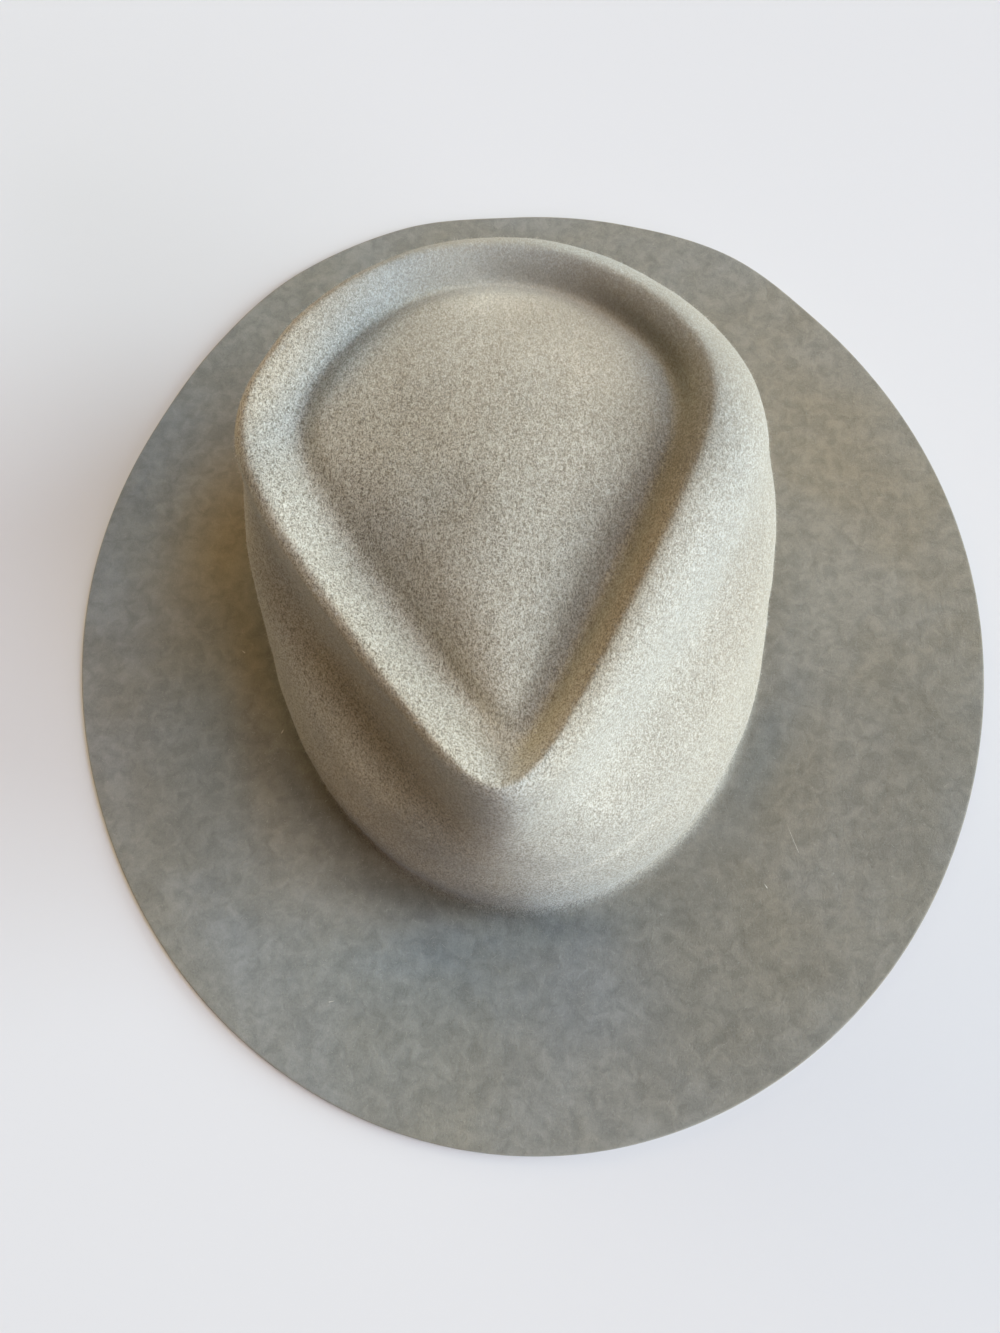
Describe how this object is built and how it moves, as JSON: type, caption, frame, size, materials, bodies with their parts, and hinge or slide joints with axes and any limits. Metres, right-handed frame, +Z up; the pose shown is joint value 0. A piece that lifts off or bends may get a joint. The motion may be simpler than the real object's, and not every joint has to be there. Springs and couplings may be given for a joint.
{
  "type": "fedora",
  "caption": "Fedora with a teardrop crown pinched at the front and a wide flat raw-edged brim, blocked from one piece of felt, worn on the head.",
  "frame": {"origin": "middle of the brim's outline, on the surface that the brim lies on", "axes": "+Z up through the crown, +Y from the hat's front to its back, +X to the wearer's left"},
  "size_m": [0.336, 0.3664, 0.107],
  "materials": {
    "felt": "matte napped felt"
  },
  "bodies": {
    "root": {"felt_body": "felt"}
  },
  "joints": []
}
